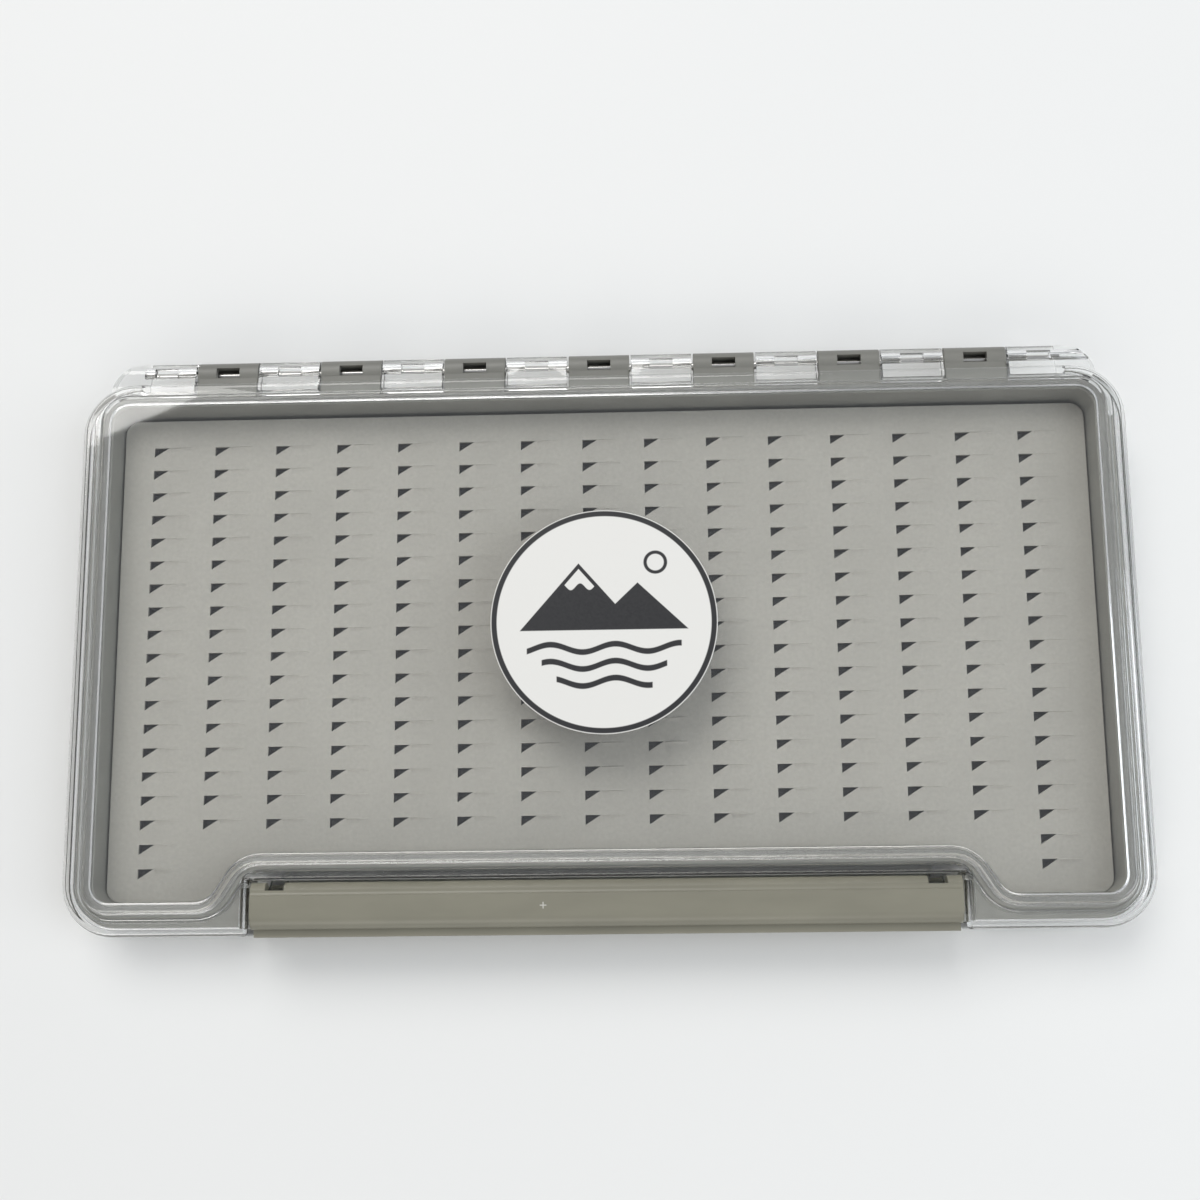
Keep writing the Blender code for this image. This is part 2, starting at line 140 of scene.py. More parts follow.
KNUCKLE_R = LID_HIGH.y - HINGE_Y
KNUCKLE_PITCH = 12.0
KNUCKLES = 15
KNUCKLE_GAP = 0.35
KNUCKLE_WINDOW = (4.5, 2.0)
KNUCKLE_WINDOW_DROP = 0.2
KNUCKLE_FOOT_DROP = 1.5
KNUCKLE_ARC = 210            # degrees of barrel that stand clear of its block
KNUCKLE_SIDES = 26
HINGE_BORE_R = 1.1
LID_BLOCK_OUT = 2.85
LID_BLOCK_IN = 0.3
WING_START_X = 94.2
WING_END_X = 87.5
WING_DROP = 1.2
WING_SIDES = 20
BITE = 0.5                   # how far a joined piece reaches into its neighbour
CLEAR = 1.0                  # how far a cutter runs past what it cuts

LATCH_BARREL_R = LATCH_HIGH.z - LATCH_Z
LATCH_FRONT = -53.7
LATCH_LIP_Z = (10.0, 11.0)
LATCH_LIP_INSET = 0.4        # the lip stops this far inside the latch's ends
LATCH_SHEET = 1.65
LATCH_HOOK_TOP = 2.6
LATCH_HOOK_TIP = -45.95
LATCH_BORE_R = 0.75
LUG_X = (58.6, 61.5)
LUG_R = 1.2
LUG_ARM = 0.65
LUG_ARM_ANGLE = -50.0        # from +Y, down to the skirt
LUG_SIDES = 24
LATCH_OPENS = 90.0
CATCH_EDGE = -47.25
CATCH_Z = (2.9, 4.2)
CATCH_HALF = 60.0
LATCH_BROW_R = 2.2
LATCH_FOOT_R = 0.8
LATCH_TIP_R = (0.4, 0.2)     # the hook's tip, below and above
LATCH_HOOK_R = 0.5
LATCH_INNER_R = 0.8
LATCH_LIP_R = 0.35
LATCH_CORNER_SIDES = 8
LATCH_BARREL_SIDES = 20
LATCH_CROSS_AT = (-11.0, -49.8)   # where a small light grey cross sits on top of the latch
LATCH_CROSS_ARM = (0.6, 0.1)        # half the length and half the width of its two strokes
LATCH_VALLEY = (-46.95, 0.9, 0.4)   # where it runs, its radius and its depth

SLIT_PITCH = (11.98, 4.53)
SLIT_GRID = (15, 17)
SLIT_OUTER_EXTRA = 2
SLIT_FIRST = (-87.4, 39.21)
SLIT_MOUTH = (2.9, 1.85)
SLIT_END = 7.4
SLIT_DEPTH = 1.9
SLIT_SKIN = 0.4              # the skin is held flat this far round a slit
LIP_HIGH = 0.24              # the raised lower edge of the cut
LIP_OUT = 0.12

EDGE_R = 0.3                 # small moulded edges
WALL_EDGE_R = 0.35

CORNER_SIDES = 10
ROD_SIDES = 40
BEVEL_STEPS = 3


# ---------------------------------------------------------------- shaping helpers


def shift_outline(corners, out):
    """Move an anticlockwise outline of (x, y, radius) corners out by a distance."""
    count = len(corners)
    moved = []
    for i, (x, y, radius) in enumerate(corners):
        here = Vector((x, y))
        before = (here - Vector(corners[i - 1][:2])).normalized()
        after = (Vector(corners[(i + 1) % count][:2]) - here).normalized()
        outward = [Vector((d.y, -d.x)) for d in (before, after)]
        mitre = (outward[0] + outward[1]) / (1 + outward[0].dot(outward[1]))
        turn = before.x * after.y - before.y * after.x
        spot = here + mitre * out
        moved.append((spot.x, spot.y, radius + out if turn > 0 else radius - out))
    return moved


def rounded(corners, sides=CORNER_SIDES):
    """Points of an outline whose (x, y, radius) corners are arcs, with the same count for any radius."""
    count = len(corners)
    points = []
    for i, (x, y, radius) in enumerate(corners):
        here = Vector((x, y))
        back = (Vector(corners[i - 1][:2]) - here).normalized()
        ahead = (Vector(corners[(i + 1) % count][:2]) - here).normalized()
        turn = math.pi - back.angle(ahead)
        radius = max(radius, 0.05)
        centre = here + (back + ahead).normalized() * radius / math.cos(turn / 2)
        start = here + back * radius * math.tan(turn / 2) - centre
        end = here + ahead * radius * math.tan(turn / 2) - centre
        for k in range(sides + 1):
            share = k / sides
            weights = math.sin((1 - share) * turn), math.sin(share * turn)
            points.append(centre + (start * weights[0] + end * weights[1]) / math.sin(turn))
    return points


def both_sides(right):
    """An outline's right half, from front to back, and its mirror image."""
    return right + [(-x, y, radius) for x, y, radius in reversed(right)]


def wall_corners():
    """The wall's inner face as (x, y, radius) corners."""
    return both_sides(
        [
            (BAY_SHOULDER_X, BAY_WALL_Y, BAY_SHOULDER_R),
            (BAY_FOOT_X, WALL_FRONT, BAY_FOOT_R),
            (WALL_HALF_WIDTH, WALL_FRONT, WALL_CORNER_R),
            (WALL_HALF_WIDTH, WALL_BACK, WALL_CORNER_R),
        ]
    )


def wall_line(out=0.0):
    """The outline of the tray's inner wall, moved out."""
    return rounded(shift_outline(wall_corners(), out))


def lid_line(out=0.0):
    """The outline of the lid with its latch bay, moved out."""
    right = [
        (BAY_HALF, BAY_Y, BAY_EDGE_R[0]),
        (BAY_HALF, LID_FRONT, BAY_EDGE_R[1]),
        (LID_HIGH.x, LID_FRONT, LID_CORNER_R),
        (LID_HIGH.x, LID_BACK, LID_CORNER_R),
    ]
    return rounded(shift_outline(both_sides(right), out))


def insert_line(out=0.0):
    """The outline of the silicone insert, which sits against the front wall."""
    front = shift_outline(wall_corners(), -GAP)[:2]
    sides = [(INSERT_HIGH.x, y, INSERT_CORNER_R) for y in (INSERT_LOW.y, INSERT_HIGH.y)]
    return rounded(shift_outline(both_sides(front + sides), out))


def arc(x, y, radius, start, sweep, sides):
    """Points on an arc, anticlockwise from start, in degrees."""
    angles = [math.radians(start + sweep * k / sides) for k in range(sides + 1)]
    return [(x + radius * math.cos(a), y + radius * math.sin(a)) for a in angles]


def circle(x, y, radius, sides):
    """Points all the way round, without the first one twice."""
    return arc(x, y, radius, 0, 360 - 360 / sides, sides - 1)


def new_object(name, mesh):
    obj = bpy.data.objects.new(name, mesh)
    bpy.context.scene.collection.objects.link(obj)
    return obj


def mesh_from(name, work):
    """Turn a finished bmesh into an object, and free it."""
    bmesh.ops.recalc_face_normals(work, faces=work.faces)
    mesh = bpy.data.meshes.new(name)
    work.to_mesh(mesh)
    work.free()
    return new_object(name, mesh)


def loft(name, line, steps, ring=False):
    """A solid through outlines line(out) at height z, for each (out, z) of steps. A ring has no ends."""
    work = bmesh.new()
    rings = []
    for out, z in steps:
        rings.append([work.verts.new((x * MM, y * MM, z * MM)) for x, y in line(out)])
    pairs = list(zip(rings, rings[1:])) + ([(rings[-1], rings[0])] if ring else [])
    for low, high in pairs:
        for i in range(len(low)):
            work.faces.new((low[i - 1], low[i], high[i], high[i - 1]))
    if not ring:
        work.faces.new(rings[0])
        work.faces.new(rings[-1])
    return mesh_from(name, work)


def bar(name, points, x_range, edge=0.0):
    """A (y, z) outline extruded along X, with its end edges rounded."""
    work = bmesh.new()
    ends = [[work.verts.new((x * MM, y * MM, z * MM)) for y, z in points] for x in x_range]
    caps = [work.faces.new(ends[0]), work.faces.new(ends[1])]
    for i in range(len(points)):
        work.faces.new((ends[0][i - 1], ends[0][i], ends[1][i], ends[1][i - 1]))
    if edge:
        rims = [e for cap in caps for e in cap.edges]
        bmesh.ops.bevel(work, geom=rims, offset=edge * MM, segments=BEVEL_STEPS, profile=0.5, affect="EDGES")
        bmesh.ops.triangulate(work, faces=work.faces)
    return mesh_from(name, work)


def box(name, low, high):
    """A box between two corners."""
    work = bmesh.new()
    bmesh.ops.create_cube(work, size=1)
    for vertex in work.verts:
        vertex.co = [(l if c < 0 else h) * MM for c, l, h in zip(vertex.co, low, high)]
    return mesh_from(name, work)


def rod(name, radius, x_range, y, z, edge=0.0):
    """A round bar along X."""
    return bar(name, circle(y, z, radius, ROD_SIDES), x_range, edge)


def carve(obj, joins=(), cuts=()):
    """Join and cut with other objects, which are used up."""
    for other, operation in [(o, "UNION") for o in joins] + [(o, "DIFFERENCE") for o in cuts]:
        modifier = obj.modifiers.new(other.name, "BOOLEAN")
        modifier.operation = operation
        modifier.object = other
    bpy.context.view_layer.update()
    graph = bpy.context.evaluated_depsgraph_get()
    mesh = bpy.data.meshes.new_from_object(obj.evaluated_get(graph))
    obj.modifiers.clear()
    obj.data = mesh
    work = bmesh.new()
    work.from_mesh(mesh)
    bmesh.ops.remove_doubles(work, verts=work.verts, dist=WELD)
    bmesh.ops.dissolve_degenerate(work, edges=work.edges, dist=WELD)
    work.to_mesh(mesh)
    work.free()
    for other in [*joins, *cuts]:
        bpy.data.objects.remove(other, do_unlink=True)
    return obj


def shade(obj, angle=32.0):
    """Smooth the curved faces and keep the flat ones flat."""
    obj.data.shade_smooth()
    obj.data.set_sharp_from_angle(angle=math.radians(angle))
    weighted = obj.modifiers.new("weighted_normals", "WEIGHTED_NORMAL")
    weighted.keep_sharp = True
    return obj


def fillet(out, z, radius, start, sweep, sides=5):
    """Steps of a loft round an edge: an arc about (out, z)."""
    return [tuple(p) for p in arc(out, z, radius, start, sweep, sides)]


def dress(obj, look, body, slot, *nodes):
    """Give a piece its material, its body and the CAD nodes that it stands for."""
    obj.data.materials.clear()
    obj.data.materials.append(look)
    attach(obj, body)
    if nodes:
        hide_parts(*nodes)
    return obj


# ---------------------------------------------------------------- materials

TRAY_GREY = (0.178, 0.176, 0.158)
LATCH_GREY = (0.212, 0.203, 0.158)
CROSS_GREY = (0.5, 0.49, 0.45)
SILICONE_GREYS = (0.272, 0.262, 0.234), (0.300, 0.289, 0.259)
SILICONE_SPECK = (0.22, 0.213, 0.193)
# painted shade: the dark colour the insert turns to down in its cuts, standing in for the shadow there
SILICONE_PAINTED_SHADE = (0.045, 0.045, 0.048)
SILICONE_SHADE = (0.2, 0.7)  # how far down the cuts start to darken, and over what depth
CLEAR_TINT = (0.985, 0.99, 0.99)
LAMP_TINT = (0.95, 0.955, 0.955)
CLEAR_IOR = 1.585
SEAL_IOR = 1.41
STEEL_GREY = (0.62, 0.61, 0.59)
BACKING_GREYS = (0.05, 0.05, 0.055), (0.085, 0.085, 0.09)
SEAL_GREY = (0.60, 0.60, 0.58)
VINYL_WHITE = (0.74, 0.73, 0.70)
INK_BLACK = (0.018, 0.018, 0.02)
FLOOR_WHITE = (0.78, 0.78, 0.77)

# The print, in parts of the sticker's radius from its middle.
PRINT_SOFT = 0.004           # half the width of a printed edge
PRINT_RING = (0.945, 0.992)
HILL_FOOT = -0.08
HILLS = (-0.22, 0.52, 1.15), (0.30, 0.34, 0.95)   # where each peak is, its top and its slope
SNOW_TOP = 0.47
SNOW_LINE = (38.0, 0.03, 0.31)                    # how close, how high and where its teeth are
SUN_AT = (0.46, 0.52)
SUN_RING = (0.075, 0.105)
WAVES = 3
WAVE_FIRST = 0.24
WAVE_STEP = 0.15
WAVE_BEND = (11.0, 0.5, 0.035)                    # how close its bends are, their phase and height
WAVE_HALF = 0.026
WAVE_REACH = (0.68, 0.13)                         # the top one's half length, and what each loses


class Nodes:
    """Short calls for building one material's nodes."""

    def __init__(self, name):
        self.material = bpy.data.materials.new(name)
        self.material.use_nodes = True
        self.tree = self.material.node_tree
        self.shader = self.tree.nodes["Principled BSDF"]
        self.output = self.tree.nodes["Material Output"]
        self.place = self.add("ShaderNodeTexCoord").outputs["Object"]

    def add(self, kind, **values):
        node = self.tree.nodes.new(kind)
        for key, value in values.items():
            setattr(node, key, value)
        return node

    def link(self, source, target):
        self.tree.links.new(source, target)

    def math(self, operation, *values, clamp=False):
        node = self.add("ShaderNodeMath", operation=operation, use_clamp=clamp)
        for socket, value in zip(node.inputs, values):
            if isinstance(value, (int, float)):
                socket.default_value = value
            else:
                self.link(value, socket)
        return node.outputs[0]

    def speckle(self, scale, detail=2.0, stretch=(1, 1, 1)):
        """Noise over the object. A larger scale is finer, and stretch sets that along each axis."""
        mapping = self.add("ShaderNodeMapping")
        mapping.inputs["Scale"].default_value = stretch
        self.link(self.place, mapping.inputs["Vector"])
        node = self.add("ShaderNodeTexNoise")
        node.inputs["Scale"].default_value = scale
        node.inputs["Detail"].default_value = detail
        self.link(mapping.outputs["Vector"], node.inputs["Vector"])
        return node.outputs["Fac"]

    def spread(self, source, low, high):
        """Map a noise value, which is mostly 0.3 to 0.7, onto low to high."""
        node = self.add("ShaderNodeMapRange")
        node.inputs["From Min"].default_value = 0.3
        node.inputs["From Max"].default_value = 0.7
        node.inputs["To Min"].default_value = low
        node.inputs["To Max"].default_value = high
        self.link(source, node.inputs["Value"])
        return node.outputs["Result"]

    def mix(self, fac, a, b):
        """Blend two colours, each a tuple or a socket, by a socket."""
        node = self.add("ShaderNodeMix", data_type="RGBA")
        self.link(fac, node.inputs["Factor"])
        for key, value in (("A", a), ("B", b)):
            socket = next(s for s in node.inputs if s.name == key and s.type == "RGBA")
            if isinstance(value, tuple):
                socket.default_value = (*value, 1.0)
            else:
                self.link(value, socket)
        return next(s for s in node.outputs if s.type == "RGBA")

    def bump(self, height, strength, distance):
        node = self.add("ShaderNodeBump")
        node.inputs["Strength"].default_value = strength
        node.inputs["Distance"].default_value = distance
        self.link(height, node.inputs["Height"])
        self.link(node.outputs["Normal"], self.shader.inputs["Normal"])


def moulded_plastic(name, colour, roughness, cross_at=None):
    """Satin moulded plastic: fine grain, a faint flow mottle and, if asked for, a small light grey cross."""
    made = Nodes(name)
    mottle = made.speckle(60.0, 3.0, (1, 3, 1))
    darker = tuple(c * 0.93 for c in colour)
    lighter = tuple(c * 1.06 for c in colour)
    tint = made.mix(made.spread(mottle, 0.0, 1.0), darker, lighter)
    # a small light grey cross drawn at one spot
    if cross_at:
        split = made.add("ShaderNodeSeparateXYZ")
        made.link(made.place, split.inputs["Vector"])
        arms = []
        for axis, middle in zip("XY", cross_at):
            away = made.math("SUBTRACT", split.outputs[axis], middle * MM)
            arms.append(made.math("ABSOLUTE", away))
        near = made.math("LESS_THAN", made.math("MAXIMUM", *arms), LATCH_CROSS_ARM[0] * MM)
        thin = made.math("LESS_THAN", made.math("MINIMUM", *arms), LATCH_CROSS_ARM[1] * MM)
        tint = made.mix(made.math("MULTIPLY", near, thin), tint, CROSS_GREY)
    made.link(tint, made.shader.inputs["Base Color"])
    grain = made.speckle(3500.0, 2.0)
    made.link(made.spread(grain, roughness - 0.05, roughness + 0.07), made.shader.inputs["Roughness"])
    made.bump(grain, 0.25, 0.00006)
    return made.material


def silicone():
    """Light grey silicone with a soft bloom and a very fine texture, and painted shade down in its cuts."""
    made = Nodes("silicone_light_grey")
    cloud = made.speckle(45.0, 4.0)
    base = made.mix(made.spread(cloud, 0.0, 1.0), *SILICONE_GREYS)
    speck = made.speckle(1400.0, 3.0)
    tint = made.mix(made.spread(speck, 0.0, 0.35), base, SILICONE_SPECK)
    split = made.add("ShaderNodeSeparateXYZ")
    made.link(made.place, split.inputs["Vector"])
    # painted shade: the colour darkens with depth below the insert's top, standing in for the shadow inside
    # the cuts
    depth = made.math("SUBTRACT", INSERT_HIGH.z * MM, split.outputs["Z"])
    start, over = SILICONE_SHADE
    painted_shade = made.math("MULTIPLY", made.math("SUBTRACT", depth, start * MM), 1 / (over * MM), clamp=True)
    made.link(made.mix(painted_shade, tint, SILICONE_PAINTED_SHADE), made.shader.inputs["Base Color"])
    made.link(made.spread(speck, 0.52, 0.66), made.shader.inputs["Roughness"])
    made.bump(speck, 0.3, 0.00008)
    return made.material


def plain(name, colour, roughness, metallic=0.0):
    """A material of one colour, for its caller to add to."""
    made = Nodes(name)
    made.shader.inputs["Base Color"].default_value = (*colour, 1.0)
    made.shader.inputs["Roughness"].default_value = roughness
    made.shader.inputs["Metallic"].default_value = metallic
    return made


def clear_plastic(name, tint, roughness):
    """Polished clear polycarbonate. Lamps reach through it, so the inside of the box is lit."""
    made = Nodes(name)
    shader = made.shader
    shader.inputs["Base Color"].default_value = (*tint, 1.0)
    shader.inputs["Roughness"].default_value = roughness
    shader.inputs["IOR"].default_value = CLEAR_IOR
    shader.inputs["Transmission Weight"].default_value = 1.0
    path = made.add("ShaderNodeLightPath")
    through = made.add("ShaderNodeBsdfTransparent")
    through.inputs["Color"].default_value = (*LAMP_TINT, 1.0)
    mix = made.add("ShaderNodeMixShader")
    made.link(path.outputs["Is Shadow Ray"], mix.inputs[0])
    made.link(shader.outputs["BSDF"], mix.inputs[1])
    made.link(through.outputs["BSDF"], mix.inputs[2])
    made.link(mix.outputs["Shader"], made.output.inputs["Surface"])
    return made.material


def steel():
    """Bright wire, with fine lines drawn along it."""
    made = plain("drawn_steel", STEEL_GREY, 0.22, 1.0)
    drawn = made.speckle(900.0, 2.0, (0.02, 1, 1))
    made.link(made.spread(drawn, 0.15, 0.32), made.shader.inputs["Roughness"])
    made.bump(drawn, 0.15, 0.00003)
    return made.material


def backing():
    """A dark sheet with a fibrous face."""
    made = plain("dark_adhesive_sheet", BACKING_GREYS[0], 0.8)
    fibre = made.speckle(1200.0, 3.0)
    tint = made.mix(made.spread(fibre, 0.0, 1.0), *BACKING_GREYS)
    made.link(tint, made.shader.inputs["Base Color"])
    made.bump(fibre, 0.4, 0.0001)
    return made.material


def seal():
    """A soft translucent rubber."""
    made = plain("translucent_seal", SEAL_GREY, 0.25)
    made.shader.inputs["Transmission Weight"].default_value = 0.85
    made.shader.inputs["IOR"].default_value = SEAL_IOR
    grain = made.speckle(1500.0, 2.0)
    made.bump(grain, 0.2, 0.00005)
    return made.material


def printed_vinyl(centre, radius):
    """White vinyl with a black rim and a plain print of hills over three waves."""
    made = plain("printed_vinyl", VINYL_WHITE, 0.38)
    split = made.add("ShaderNodeSeparateXYZ")
    made.link(made.place, split.inputs["Vector"])
    x = made.math("DIVIDE", made.math("SUBTRACT", split.outputs["X"], centre[0]), radius)
    y = made.math("DIVIDE", made.math("SUBTRACT", split.outputs["Y"], centre[1]), radius)
    squares = made.math("ADD", made.math("MULTIPLY", x, x), made.math("MULTIPLY", y, y))
    away = made.math("SQRT", squares)

    def step(value, edge):
        """1 where value is over edge, with a hair of softness."""
        past = made.math("SUBTRACT", value, edge - PRINT_SOFT)
        return made.math("MULTIPLY", past, 1 / (2 * PRINT_SOFT), clamp=True)

    def both(a, b):
        return made.math("MULTIPLY", a, b)

    def either(a, b):
        return made.math("MAXIMUM", a, b)

    def no(a):
        return made.math("SUBTRACT", 1.0, a)

    def peak(at, top, slope):
        """Inside a hill whose sides fall away from its top."""
        side = made.math("ABSOLUTE", made.math("SUBTRACT", x, at))
        height = made.math("SUBTRACT", top, made.math("MULTIPLY", side, slope))
        return step(made.math("SUBTRACT", height, y), 0.0)

    ring_in, ring_out = PRINT_RING
    ink = both(step(away, ring_in), no(step(away, ring_out)))
    ground = step(y, HILL_FOOT)
    hills = either(peak(*HILLS[0]), peak(*HILLS[1]))
    close, high, level = SNOW_LINE
    ridge = made.math("MULTIPLY", made.math("SINE", made.math("MULTIPLY", x, close)), high)
    at, _, slope = HILLS[0]
    snow = both(peak(at, SNOW_TOP, slope), step(made.math("ADD", y, ridge), level))
    ink = either(ink, both(both(hills, ground), no(snow)))
    sun_x = made.math("SUBTRACT", x, SUN_AT[0])
    sun_y = made.math("SUBTRACT", y, SUN_AT[1])
    sun = made.math("SQRT", made.math("ADD", both(sun_x, sun_x), both(sun_y, sun_y)))
    ink = either(ink, both(no(step(sun, SUN_RING[1])), step(sun, SUN_RING[0])))
    close, phase, high = WAVE_BEND
    for row in range(WAVES):
        height = made.math("MULTIPLY", made.math("SINE", made.math("MULTIPLY_ADD", x, close, phase)), high)
        level = made.math("SUBTRACT", height, WAVE_FIRST + WAVE_STEP * row)
        line = made.math("ABSOLUTE", made.math("SUBTRACT", y, level))
        reach = made.math("ABSOLUTE", x)
        inside = no(step(reach, WAVE_REACH[0] - WAVE_REACH[1] * row))
        ink = either(ink, both(no(step(line, WAVE_HALF)), inside))
    middle = (PANEL_TOP + STICKER_LIFT + STICKER_THICK / 2) * MM
    printed_side = made.math("GREATER_THAN", split.outputs["Z"], middle)
    ink = both(ink, printed_side)
    colour = made.mix(ink, VINYL_WHITE, INK_BLACK)
    made.link(colour, made.shader.inputs["Base Color"])
    grain = made.speckle(2500.0, 2.0)
    made.link(made.spread(grain, 0.32, 0.44), made.shader.inputs["Roughness"])
    made.bump(grain, 0.12, 0.00003)
    return made.material


# ---------------------------------------------------------------- the tray


def knuckle_range(index):
    """The X range of one knuckle, counted from the left."""
    left = (index - KNUCKLES / 2) * KNUCKLE_PITCH
    return left + KNUCKLE_GAP / 2, left + KNUCKLE_PITCH - KNUCKLE_GAP / 2


def knuckle_cuts(name, indexes):
    """The hinge bore, and a window on top of each knuckle that shows the pin."""
    reach = (HINGE_PIN_LOW.x - GAP, LID_HIGH.x)
    cuts = [rod(name + "_bore", HINGE_BORE_R, reach, HINGE_Y, HINGE_Z)]
    for i in indexes:
        middle = sum(knuckle_range(i)) / 2
        half_x, half_y = KNUCKLE_WINDOW[0] / 2, KNUCKLE_WINDOW[1] / 2
        low = (middle - half_x, HINGE_Y - half_y, HINGE_Z - KNUCKLE_WINDOW_DROP)
        high = (middle + half_x, HINGE_Y + half_y, HINGE_Z + 2 * KNUCKLE_R)
        cuts.append(box(f"{name}_window_{i}", low, high))
    return cuts


def tray_knuckle(index):
    """A barrel on a block that stands out of the tray's back wall."""
    barrel = arc(HINGE_Y, HINGE_Z, KNUCKLE_R, -90, KNUCKLE_ARC, KNUCKLE_SIDES)
    root = WALL_BACK + WALL / 2
    points = barrel + [(root, barrel[-1][1]), (root, barrel[0][1])]
    return bar(f"tray_knuckle_{index}", points, knuckle_range(index), 0.25)


def build_tray(look):
    """The tray's shell, with its seal rim, ledge, catch and knuckles joined on one at a time."""
    bottom_r, edge_r, floor_r, small_r = TRAY_BOTTOM_R, WALL_EDGE_R, TRAY_FLOOR_R, EDGE_R
    outside = fillet(WALL - bottom_r, bottom_r, bottom_r, -90, 90)
    outside += fillet(WALL - edge_r, WALL_TOP - edge_r, edge_r, 0, 90, 3)
    inside = fillet(edge_r, WALL_TOP - edge_r, edge_r, 90, 90, 3)
    inside += fillet(-WALL_DRAFT - floor_r, FLOOR_TOP + floor_r, floor_r, 0, -90, 4)
    tray = loft("tray_shell", wall_line, outside + inside)
    root, sink = 0.5, 0.02       # inside the wall, and a hair under its top so no faces coincide
    rim_top = WALL_TOP - sink
    rim = [(root, RIM_BOTTOM)] + fillet(RIM_OUT - edge_r, RIM_BOTTOM + edge_r, edge_r, -90, 90, 3)
    rim += fillet(RIM_OUT - edge_r, rim_top - edge_r, edge_r, 0, 90, 3) + [(root, rim_top)]
    seal_rim = loft("seal_rim", wall_line, rim, ring=True)
    low, high = LEDGE_Z
    ledge_out = -SKIRT - GAP
    ledge = fillet(ledge_out - small_r, low + small_r, small_r, -90, 90, 3)
    ledge += fillet(ledge_out - small_r, high - small_r, small_r, 0, 90, 3)
    ledge = loft("ledge", lid_line, ledge)
    for piece, back in ((seal_rim, RIM_BACK), (ledge, LEDGE_BACK)):
        trim = box("trim", (-LID_HIGH.x, back, low - CLEAR), (LID_HIGH.x, LID_HIGH.y, WALL_TOP + CLEAR))
        carve(piece, cuts=[trim])
    centre = loft("ledge_centre", wall_line, [(WALL - root, low - CLEAR), (WALL - root, high + CLEAR)])
    carve(ledge, cuts=[centre])
    catch_low = (-CATCH_HALF, CATCH_EDGE, CATCH_Z[0])
    catch = box("catch", catch_low, (CATCH_HALF, BAY_WALL_Y - WALL / 2, CATCH_Z[1]))
    for piece in (catch, ledge, seal_rim):
        carve(tray, [piece])
    odd = range(1, KNUCKLES, 2)
    for i in odd:
        carve(tray, [tray_knuckle(i)])
    carve(tray, cuts=knuckle_cuts("tray", odd))
    return dress(shade(tray), look, "base", "tray_grey", "base_tray")


# ---------------------------------------------------------------- the silicone insert


def slit_corners():
    """The top left corner of every slit."""
    columns, rows = SLIT_GRID
    for column in range(columns):
        extra = SLIT_OUTER_EXTRA if column in (0, columns - 1) else 0
        for row in range(rows + extra):
            yield SLIT_FIRST[0] + column * SLIT_PITCH[0], SLIT_FIRST[1] - row * SLIT_PITCH[1]


def slit_shape():
    """One slit from its top left corner, as (x, y, rise): its mouth, the lines of its cut, the skin."""
    wide, deep = SLIT_MOUTH
    far = SLIT_SKIN
    mouth = [(0, 0, 0), (0, -deep, 0), (wide, 0, 0.01)]
    start, middle, end = wide + far, (wide + SLIT_END) / 2, SLIT_END - far
    cut = [(start, 0.02, -0.02), (middle, 0.02, -0.02), (SLIT_END, 0, 0)]
    lip = [(start, -LIP_OUT, 0.2), (middle, -LIP_OUT, LIP_HIGH), (end, -0.08, 0.08)]
    skin = [
        (-0.3, 0.3, 0), (-0.3, -deep - far, 0), (0.3, -deep - far, 0), (wide / 2 + 0.2, -deep * 0.64, 0.01),
        (start, -1.0, 0.02), (middle, -1.1, 0.02), (SLIT_END + 0.3, -0.8, 0), (SLIT_END + far, 0.2, 0),
        (middle, far, 0), (wide, far, 0), (start, -0.45, 0.12), (middle, -0.45, 0.14),
    ]
    return mouth, (cut, lip), skin


